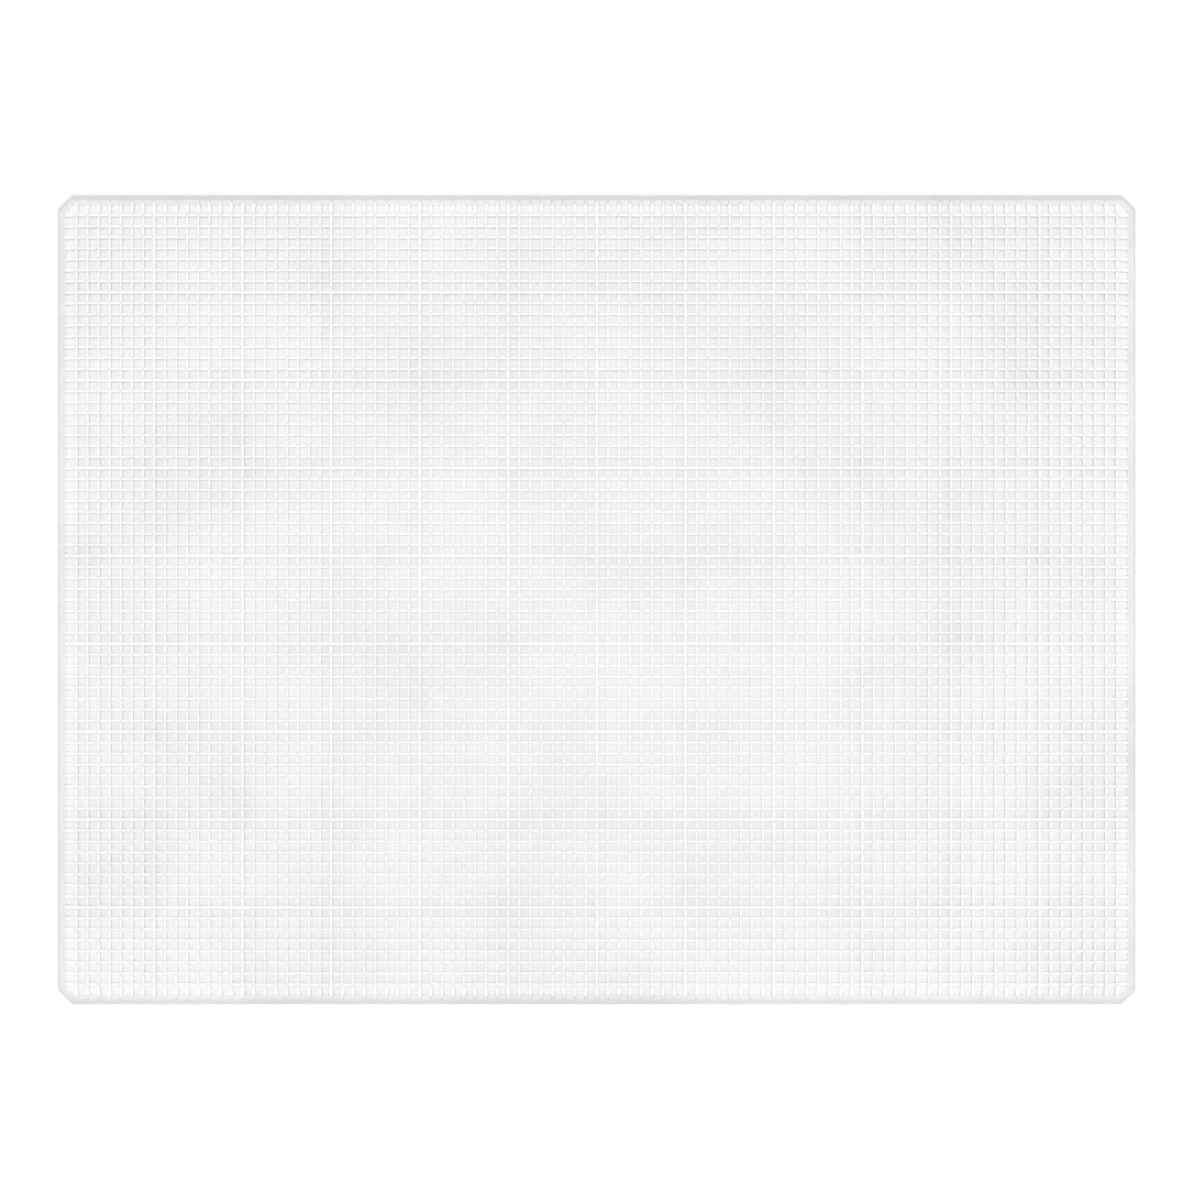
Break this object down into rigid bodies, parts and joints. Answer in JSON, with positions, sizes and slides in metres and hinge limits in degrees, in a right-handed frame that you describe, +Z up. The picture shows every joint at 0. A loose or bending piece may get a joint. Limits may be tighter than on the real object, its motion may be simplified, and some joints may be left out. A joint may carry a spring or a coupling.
{
  "type": "queen excluder",
  "caption": "Flat white plastic lattice panel with square openings, heavier bars and a narrow rim with cut corners, laid between two hive boxes.",
  "frame": {"origin": "centre of the underside, which lies on the lower hive box", "axes": "+X to the right along the long side, +Y to the back along the short side, +Z up through the panel"},
  "size_m": [0.5064, 0.3804, 0.003],
  "materials": {
    "rim": "satin moulded polypropylene, natural white, slightly translucent, with a bevelled upper edge",
    "bar": "satin moulded polypropylene, white",
    "strand": "satin moulded polypropylene, white, thin enough to let light through"
  },
  "bodies": {
    "root": {"front_rail": "rim", "back_rail": "rim", "left_rail": "rim", "right_rail": "rim", "front_left_corner": "rim", "front_right_corner": "rim", "back_left_corner": "rim", "back_right_corner": "rim", "long_bar_1": "bar", "long_bar_2": "bar", "long_bar_3": "bar", "long_bar_4": "bar", "long_bar_5": "bar", "long_bar_6": "bar", "long_bar_7": "bar", "long_bar_8": "bar", "cross_bar_1": "bar", "cross_bar_2": "bar", "cross_bar_3": "bar", "cross_bar_4": "bar", "cross_bar_5": "bar", "cross_bar_6": "bar", "cross_bar_7": "bar", "cross_bar_8": "bar", "cross_bar_9": "bar", "cross_bar_10": "bar", "cross_bar_11": "bar", "long_strands_1": "strand", "long_strands_2": "strand", "long_strands_3": "strand", "long_strands_4": "strand", "long_strands_5": "strand", "long_strands_6": "strand", "long_strands_7": "strand", "long_strands_8": "strand", "long_strands_9": "strand", "cross_strands_1": "strand", "cross_strands_2": "strand", "cross_strands_3": "strand", "cross_strands_4": "strand", "cross_strands_5": "strand", "cross_strands_6": "strand", "cross_strands_7": "strand", "cross_strands_8": "strand", "cross_strands_9": "strand", "cross_strands_10": "strand", "cross_strands_11": "strand", "cross_strands_12": "strand"}
  },
  "joints": []
}
